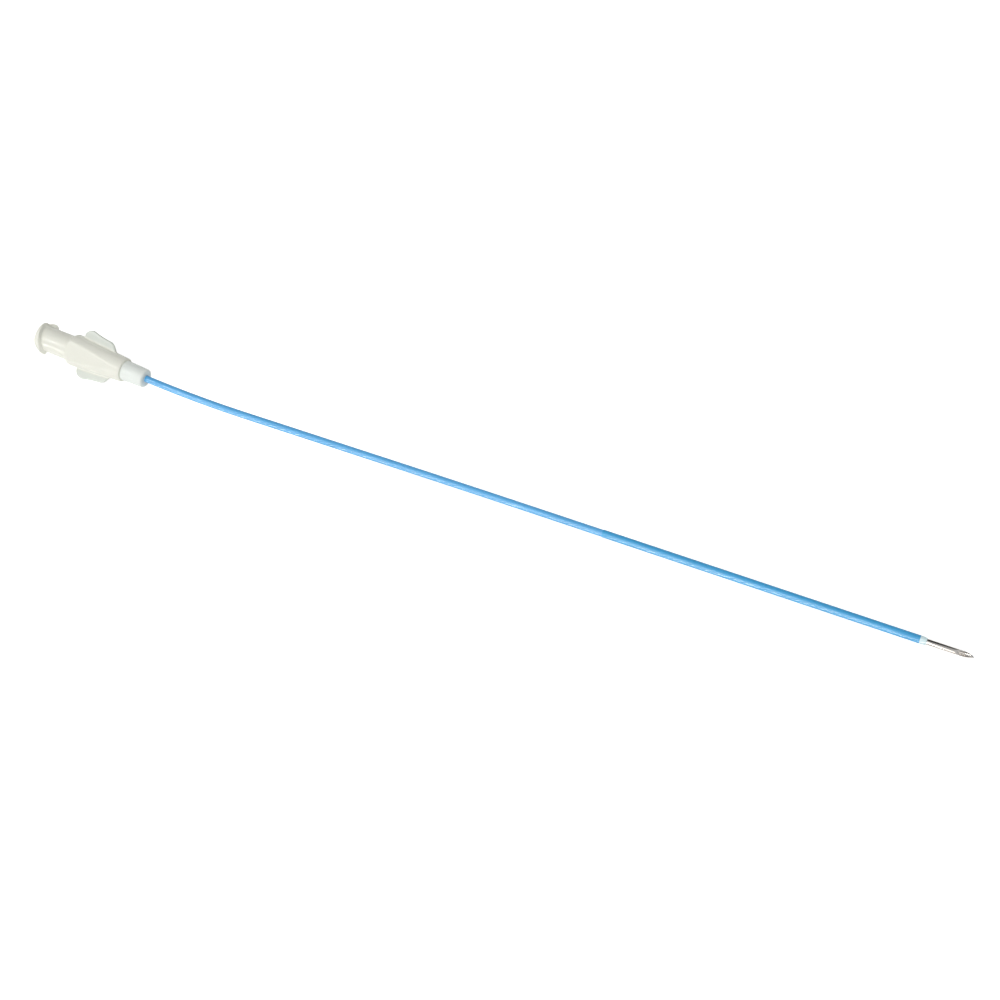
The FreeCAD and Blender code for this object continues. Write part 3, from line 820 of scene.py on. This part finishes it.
class NEEDLE_OT_sleeve(bpy.types.Operator):
    """Distal sleeve: stronger blue sleeve shrunk over the shaft's far end"""
    bl_idname = "needle.sleeve"
    bl_label = "Distal sleeve"

    COLUMNS = 64
    LENGTHS = 12
    REAR_ROUND = 0.05 * MM
    END_ROUND = 0.03 * MM

    def execute(self, context):
        shaft = settings("needle_shaft")
        long, out, hole = shaft.sleeve_length, shaft.sleeve_radius, shaft.tube_radius
        stops = [(long * k / self.LENGTHS, out, 0.0) for k in range(1, self.LENGTHS)]
        outline = rounded([(0.0, hole, 0.0), (0.0, out, self.REAR_ROUND)] + stops
                          + [(long, out, self.END_ROUND), (long, hole, 0.0)], steps=4)
        tone = settings("needle_finish").sleeve_blue
        material = drawn("sleeve_blue", tone, streak_factor=0.7, streaks=0.3, bands=0.4,
                         roughness=0.12, bump=(0.04, 0.02 * MM), Coat_Weight=0.9)
        piece = turned("sleeve", lambda a: outline, even_columns(self.COLUMNS), material)
        piece.data.transform(distal_place(shaft.landing_leg))
        finish_piece(piece, "distal_sleeve")
        return {"FINISHED"}


class NEEDLE_OT_bead(bpy.types.Operator):
    """Bead: clouded white ring of cured adhesive between the sleeve and the needle"""
    bl_idname = "needle.bead"
    bl_label = "Bead"

    COLUMNS = 64
    FLAT = 0.3 * MM
    STEPS = 14

    def execute(self, context):
        shaft, point = settings("needle_shaft"), settings("needle_point")
        curve = []
        for k in range(self.STEPS + 1):
            a = math.pi / 2 * k / self.STEPS
            curve.append((mixed(self.FLAT, shaft.bead_length, math.sin(a)),
                          mixed(shaft.bead_end_radius, shaft.sleeve_radius, math.cos(a))))
        outline = [(0.0, point.radius), (0.0, shaft.sleeve_radius)] + curve
        outline.append((shaft.bead_length, point.radius))
        tone = settings("needle_finish").bead_white
        material = moulded("clouded_bead", tone, cloud=0.5, grain=0.2, roughness=0.16,
                           Coat_Weight=0.5)
        piece = turned("bead", lambda a: outline, even_columns(self.COLUMNS), material)
        piece.data.transform(distal_place(shaft.landing_leg + shaft.sleeve_length))
        finish_piece(piece, "tip_collar")
        return {"FINISHED"}


class NEEDLE_OT_point(bpy.types.Operator):
    """Needle: steel cannula with a lancet point of one long bevel and two side grinds"""
    bl_idname = "needle.point"
    bl_label = "Needle"

    COLUMNS = 192
    LENGTHS = 8
    WALL_STEPS = 6
    GROUND_DEPTH = 0.01 * MM

    def planes(self):
        """Ground faces as (normal, offset): a point is ground away where it is beyond one."""
        point = settings("needle_point")
        end = point.anchor + point.reach
        slope = math.atan2(2 * point.radius, point.bevel_length)
        faces = [(Vector((math.sin(slope), 0.0, math.cos(slope))),
                  Vector((end, 0.0, -point.radius)))]
        low = point.radius * math.cos(point.grind_turn)
        for turn in (point.grind_turn, -point.grind_turn):
            normal = Vector((math.sin(point.grind_angle), 0.0, math.cos(point.grind_angle)))
            spot = Vector((end, 0.0, -low))
            tilt = Matrix.Rotation(turn, 3, "X")
            faces.append((tilt @ normal, tilt @ spot))
        return faces

    def reach_at(self, faces, y, z, end):
        """How far the cannula's wall reaches along X before a ground face cuts it."""
        reach = end
        for normal, spot in faces:
            side = normal.y * (y - spot.y) + normal.z * (z - spot.z)
            reach = min(reach, spot.x - side / normal.x)
        return reach

    def execute(self, context):
        shaft, point = settings("needle_shaft"), settings("needle_point")
        end = point.anchor + point.reach
        cuts, steps = self.LENGTHS, self.WALL_STEPS
        faces = self.planes()
        rings = []
        for a in even_columns(self.COLUMNS):
            y, z = -math.sin(a), math.cos(a)
            outer = self.reach_at(faces, y * point.radius, z * point.radius, end)
            inner = self.reach_at(faces, y * point.bore, z * point.bore, end)
            ring = [Vector((outer * k / cuts, y * point.radius, z * point.radius))
                    for k in range(cuts + 1)]
            for k in range(1, steps):
                r = mixed(point.radius, point.bore, k / steps)
                ring.append(Vector((self.reach_at(faces, y * r, z * r, end), y * r, z * r)))
            ring += [Vector((inner * k / cuts, y * point.bore, z * point.bore))
                     for k in range(cuts, -1, -1)]
            rings.append(ring)
        tone = settings("needle_finish").steel
        tube = drawn("drawn_steel", tone, streak_factor=0.75, streaks=0.5, bands=0.2,
                     roughness=0.16, bump=(0.1, 0.02 * MM), Metallic=1.0)
        ground = moulded("ground_steel", tone, cloud=0.3, grain=1.0, roughness=0.2, Metallic=1.0)
        piece = skin("cannula", rings, tube)
        piece.data.materials.append(ground)
        for face in piece.data.polygons:
            radii = [math.hypot(*piece.data.vertices[v].co.yz) for v in face.vertices]
            if max(radii) - min(radii) > self.GROUND_DEPTH and face.center.x > end / 2:
                face.material_index = 1
        along = shaft.landing_leg + shaft.sleeve_length - point.anchor
        piece.data.transform(distal_place(along, point.bevel_turn))
        finish_piece(piece, "needle_cannula")
        return {"FINISHED"}


# The stage and the add-on

class NEEDLE_OT_stage(bpy.types.Operator):
    """Table, soft lights, pale surroundings and the camera"""
    bl_idname = "needle.stage"
    bl_label = "Stage"

    MIDDLE = Vector((0.115, 0.0, 0.0))
    SEEN_GLOW = 0.6
    # The table's glow in reflections, near and far, and where along Y it fades
    MIRRORED_TABLE = (0.3, 0.0)
    TABLE_FADE = (0.008, 0.018)
    # The room's light from the front and from the far side, and what reflections add to it
    ROOM_LIGHT = (0.32, 0.06)
    ROOM_FADE = (-0.3, 0.4)
    ROOM_TINT = (0.93, 0.96, 1.0, 1.0)
    MIRRORED_ROOM = (0.45, 0.0)
    MIRRORED_FADE = (0.1, 0.35)
    # Name, place, (length, width), watts, tint, and the kind of ray the lamp is left out of
    LAMPS = (
        ("key_softbox", (0.25, -0.9, 0.6), (0.9, 0.45), 3.0, (1.0, 0.98, 0.94), ""),
        ("line_softbox", (-0.245, -0.62, 0.9), (1.0, 0.09), 2.3, (1.0, 1.0, 1.0), ""),
        ("low_softbox", (-0.25, -0.95, 0.06), (0.9, 0.06), 1.5, (1.0, 0.99, 0.96), ""),
        ("fill_softbox", (-0.8, -0.3, 0.5), (0.6, 0.5), 1.2, (1.0, 1.0, 1.0), ""),
        ("far_softbox", (0.2, 0.45, 1.0), (1.4, 0.8), 5.6, (1.0, 1.0, 0.98), "visible_glossy"),
        ("glint_strip", (0.0, -0.95, 0.08), (1.6, 0.05), 8.0, (1.0, 1.0, 1.0),
         "visible_diffuse"),
        ("hub_glint", (-0.58, -0.57, 0.89), (0.5, 0.04), 2.6, (1.0, 1.0, 1.0),
         "visible_diffuse"),
    )

    def lamp(self, name, place, size, power, tint):
        """Soft lamp that looks at the needle's middle, its long side along the needle."""
        data = bpy.data.lights.new(name, "AREA")
        data.shape = "RECTANGLE"
        data.size, data.size_y = size
        data.energy = power
        data.color = tint
        made = bpy.data.objects.new(name, data)
        behind = (Vector(place) - self.MIDDLE).normalized()
        along = (Vector((1.0, 0.0, 0.0)) - behind * behind.x).normalized()
        facing = Matrix((along, behind.cross(along), behind)).transposed().to_4x4()
        made.matrix_world = Matrix.Translation(place) @ facing
        bpy.context.scene.collection.objects.link(made)
        return made

    def glow_level(self, tree):
        """Extra white where the camera sees the table, and less in reflections of it."""
        path = add_node(tree, "ShaderNodeLightPath").outputs
        mirrored = maths(tree, "ADD", path["Is Glossy Ray"], path["Is Transmission Ray"],
                         clamp=True)
        place = add_node(tree, "ShaderNodeTexCoord")
        split = add_node(tree, "ShaderNodeSeparateXYZ", {0: place.outputs["Object"]})
        share = ranged(tree, split.outputs["Y"], self.TABLE_FADE, self.MIRRORED_TABLE)
        low = maths(tree, "MULTIPLY", mirrored, share)
        return maths(tree, "MULTIPLY_ADD", path["Is Camera Ray"], self.SEEN_GLOW, low)

    def make_table(self):
        hub = settings("needle_hub")
        half = settings("needle_stage").table_size / 2
        corners = [(-half, -half), (half, -half), (half, half), (-half, half)]
        mesh = bpy.data.meshes.new("table_top")
        mesh.from_pydata([(x, y, -hub.lug_radius) for x, y in corners], [], [(0, 1, 2, 3)])
        table = bpy.data.objects.new("table_top", mesh)
        bpy.context.scene.collection.objects.link(table)
        material = bpy.data.materials.new("table_white")
        material.use_nodes = True
        tree = material.node_tree
        tree.nodes.clear()
        tone = solid(settings("needle_finish").table)
        matt = add_node(tree, "ShaderNodeBsdfDiffuse", {"Color": tone})
        glow = add_node(tree, "ShaderNodeEmission", {"Color": WHITE})
        tree.links.new(self.glow_level(tree), glow.inputs["Strength"])
        both = add_node(tree, "ShaderNodeAddShader", {0: matt.outputs[0], 1: glow.outputs[0]})
        add_node(tree, "ShaderNodeOutputMaterial", {"Surface": both.outputs[0]})
        mesh.materials.append(material)

    def make_world(self):
        world = bpy.data.worlds.new("pale_room")
        bpy.context.scene.world = world
        world.use_nodes = True
        tree = world.node_tree
        tree.nodes.clear()
        way = add_node(tree, "ShaderNodeTexCoord")
        split = add_node(tree, "ShaderNodeSeparateXYZ", {0: way.outputs["Generated"]})
        path = add_node(tree, "ShaderNodeLightPath").outputs
        level = ranged(tree, split.outputs["Y"], self.ROOM_FADE, self.ROOM_LIGHT)
        extra = ranged(tree, split.outputs["Y"], self.MIRRORED_FADE, self.MIRRORED_ROOM)
        both = maths(tree, "MULTIPLY_ADD", path["Is Glossy Ray"], extra, level)
        dim = add_node(tree, "ShaderNodeBackground", {"Color": self.ROOM_TINT, "Strength": both})
        white = add_node(tree, "ShaderNodeBackground", {"Color": WHITE, "Strength": 1.0})
        pick = add_node(tree, "ShaderNodeMixShader", {0: path["Is Camera Ray"],
                                                      1: dim.outputs[0], 2: white.outputs[0]})
        add_node(tree, "ShaderNodeOutputWorld", {"Surface": pick.outputs[0]})

    def make_camera(self):
        stage, hub = settings("needle_stage"), settings("needle_hub")
        data = bpy.data.cameras.new("camera")
        data.sensor_width = 36.0
        data.lens = stage.lens / MM
        data.clip_start, data.clip_end = 0.01, 20.0
        camera = bpy.data.objects.new("camera", data)
        turn, rise, roll = stage.camera_azimuth, stage.camera_height, stage.camera_roll
        back = Vector((math.sin(turn) * math.cos(rise), -math.cos(turn) * math.cos(rise),
                       math.sin(rise)))
        right = (-back).cross(Vector((0.0, 0.0, 1.0))).normalized()
        up = right.cross(-back)
        level_right = right * math.cos(roll) + up * math.sin(roll)
        level_up = up * math.cos(roll) - right * math.sin(roll)
        aim = Vector((stage.aim_x, stage.aim_y, -hub.lug_radius))
        camera.matrix_world = Matrix.Translation(aim + back * stage.camera_distance) @ Matrix(
            (level_right, level_up, back)).transposed().to_4x4()
        bpy.context.scene.collection.objects.link(camera)
        bpy.context.scene.camera = camera

    def execute(self, context):
        for *facts, left_out in self.LAMPS:
            made = self.lamp(*facts)
            if left_out:
                setattr(made, left_out, False)
        self.make_table()
        self.make_world()
        self.make_camera()
        context.scene.view_settings.view_transform = "Standard"
        return {"FINISHED"}


OPERATORS = (
    NEEDLE_OT_fitting,
    NEEDLE_OT_cap,
    NEEDLE_OT_nose,
    NEEDLE_OT_tube,
    NEEDLE_OT_sleeve,
    NEEDLE_OT_bead,
    NEEDLE_OT_point,
    NEEDLE_OT_stage,
)


class NEEDLE_PT_sidebar(bpy.types.Panel):
    """Lists the needle's pieces, sizes and colours in the sidebar"""
    bl_idname = "NEEDLE_PT_sidebar"
    bl_label = "Injection needle"
    bl_space_type = "VIEW_3D"
    bl_region_type = "UI"
    bl_category = "Needle"

    def draw(self, context):
        for operator in OPERATORS:
            self.layout.operator(operator.bl_idname)
        for name, group in GROUPS.items():
            box = self.layout.box()
            box.label(text=group.__name__)
            for key in group.__annotations__:
                box.prop(getattr(context.scene, name), key)


def register():
    for name, group in GROUPS.items():
        bpy.utils.register_class(group)
        setattr(bpy.types.Scene, name, PointerProperty(type=group))
    for made in OPERATORS + (NEEDLE_PT_sidebar,):
        bpy.utils.register_class(made)


def unregister():
    for made in reversed(OPERATORS + (NEEDLE_PT_sidebar,)):
        bpy.utils.unregister_class(made)
    for name, group in reversed(GROUPS.items()):
        delattr(bpy.types.Scene, name)
        bpy.utils.unregister_class(group)


def main():
    register()
    for operator in OPERATORS:
        group, name = operator.bl_idname.split(".")
        getattr(getattr(bpy.ops, group), name)()


if __name__ == "__main__":
    main()
